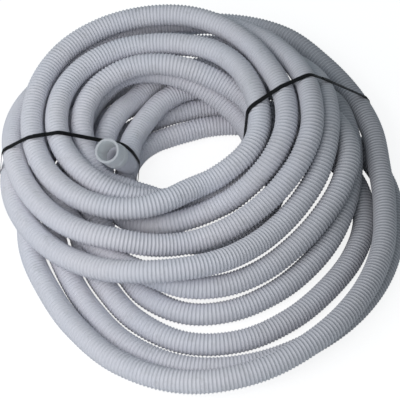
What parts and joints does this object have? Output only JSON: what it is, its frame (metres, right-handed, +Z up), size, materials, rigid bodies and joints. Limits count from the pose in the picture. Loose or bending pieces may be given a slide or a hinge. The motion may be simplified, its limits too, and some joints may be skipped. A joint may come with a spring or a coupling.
{
  "type": "vacuum hose",
  "caption": "Ribbed white pool vacuum hose coiled into a flat pile, a plain cuff standing up at one end, a swivel cuff buried at the other, black strap ties.",
  "frame": {"origin": "centre of the outline of the coiled hose, on the ground under it", "axes": "+Z up; -Y towards the side that the picture shows first, +X to that view's right"},
  "size_m": [0.6597, 0.7912, 0.1781],
  "materials": {
    "hose_plastic": "satin white with a cool tint",
    "cuff_plastic": "smooth moulded white",
    "strap": "black strapping"
  },
  "bodies": {
    "coil": {"hose": "hose_plastic", "end_cuff": "cuff_plastic", "swivel_collar": "cuff_plastic", "tie_strap_left": "strap", "tie_strap_right": "strap"},
    "swivel": {"swivel_sleeve": "cuff_plastic"}
  },
  "joints": [
    {"name": "sleeve_spin", "type": "hinge", "parent": "coil", "child": "swivel", "pos_m": [0.07038, 0.30723, 0.0225], "axis": [0.9838, 0.1793, 0], "continuous": true}
  ]
}
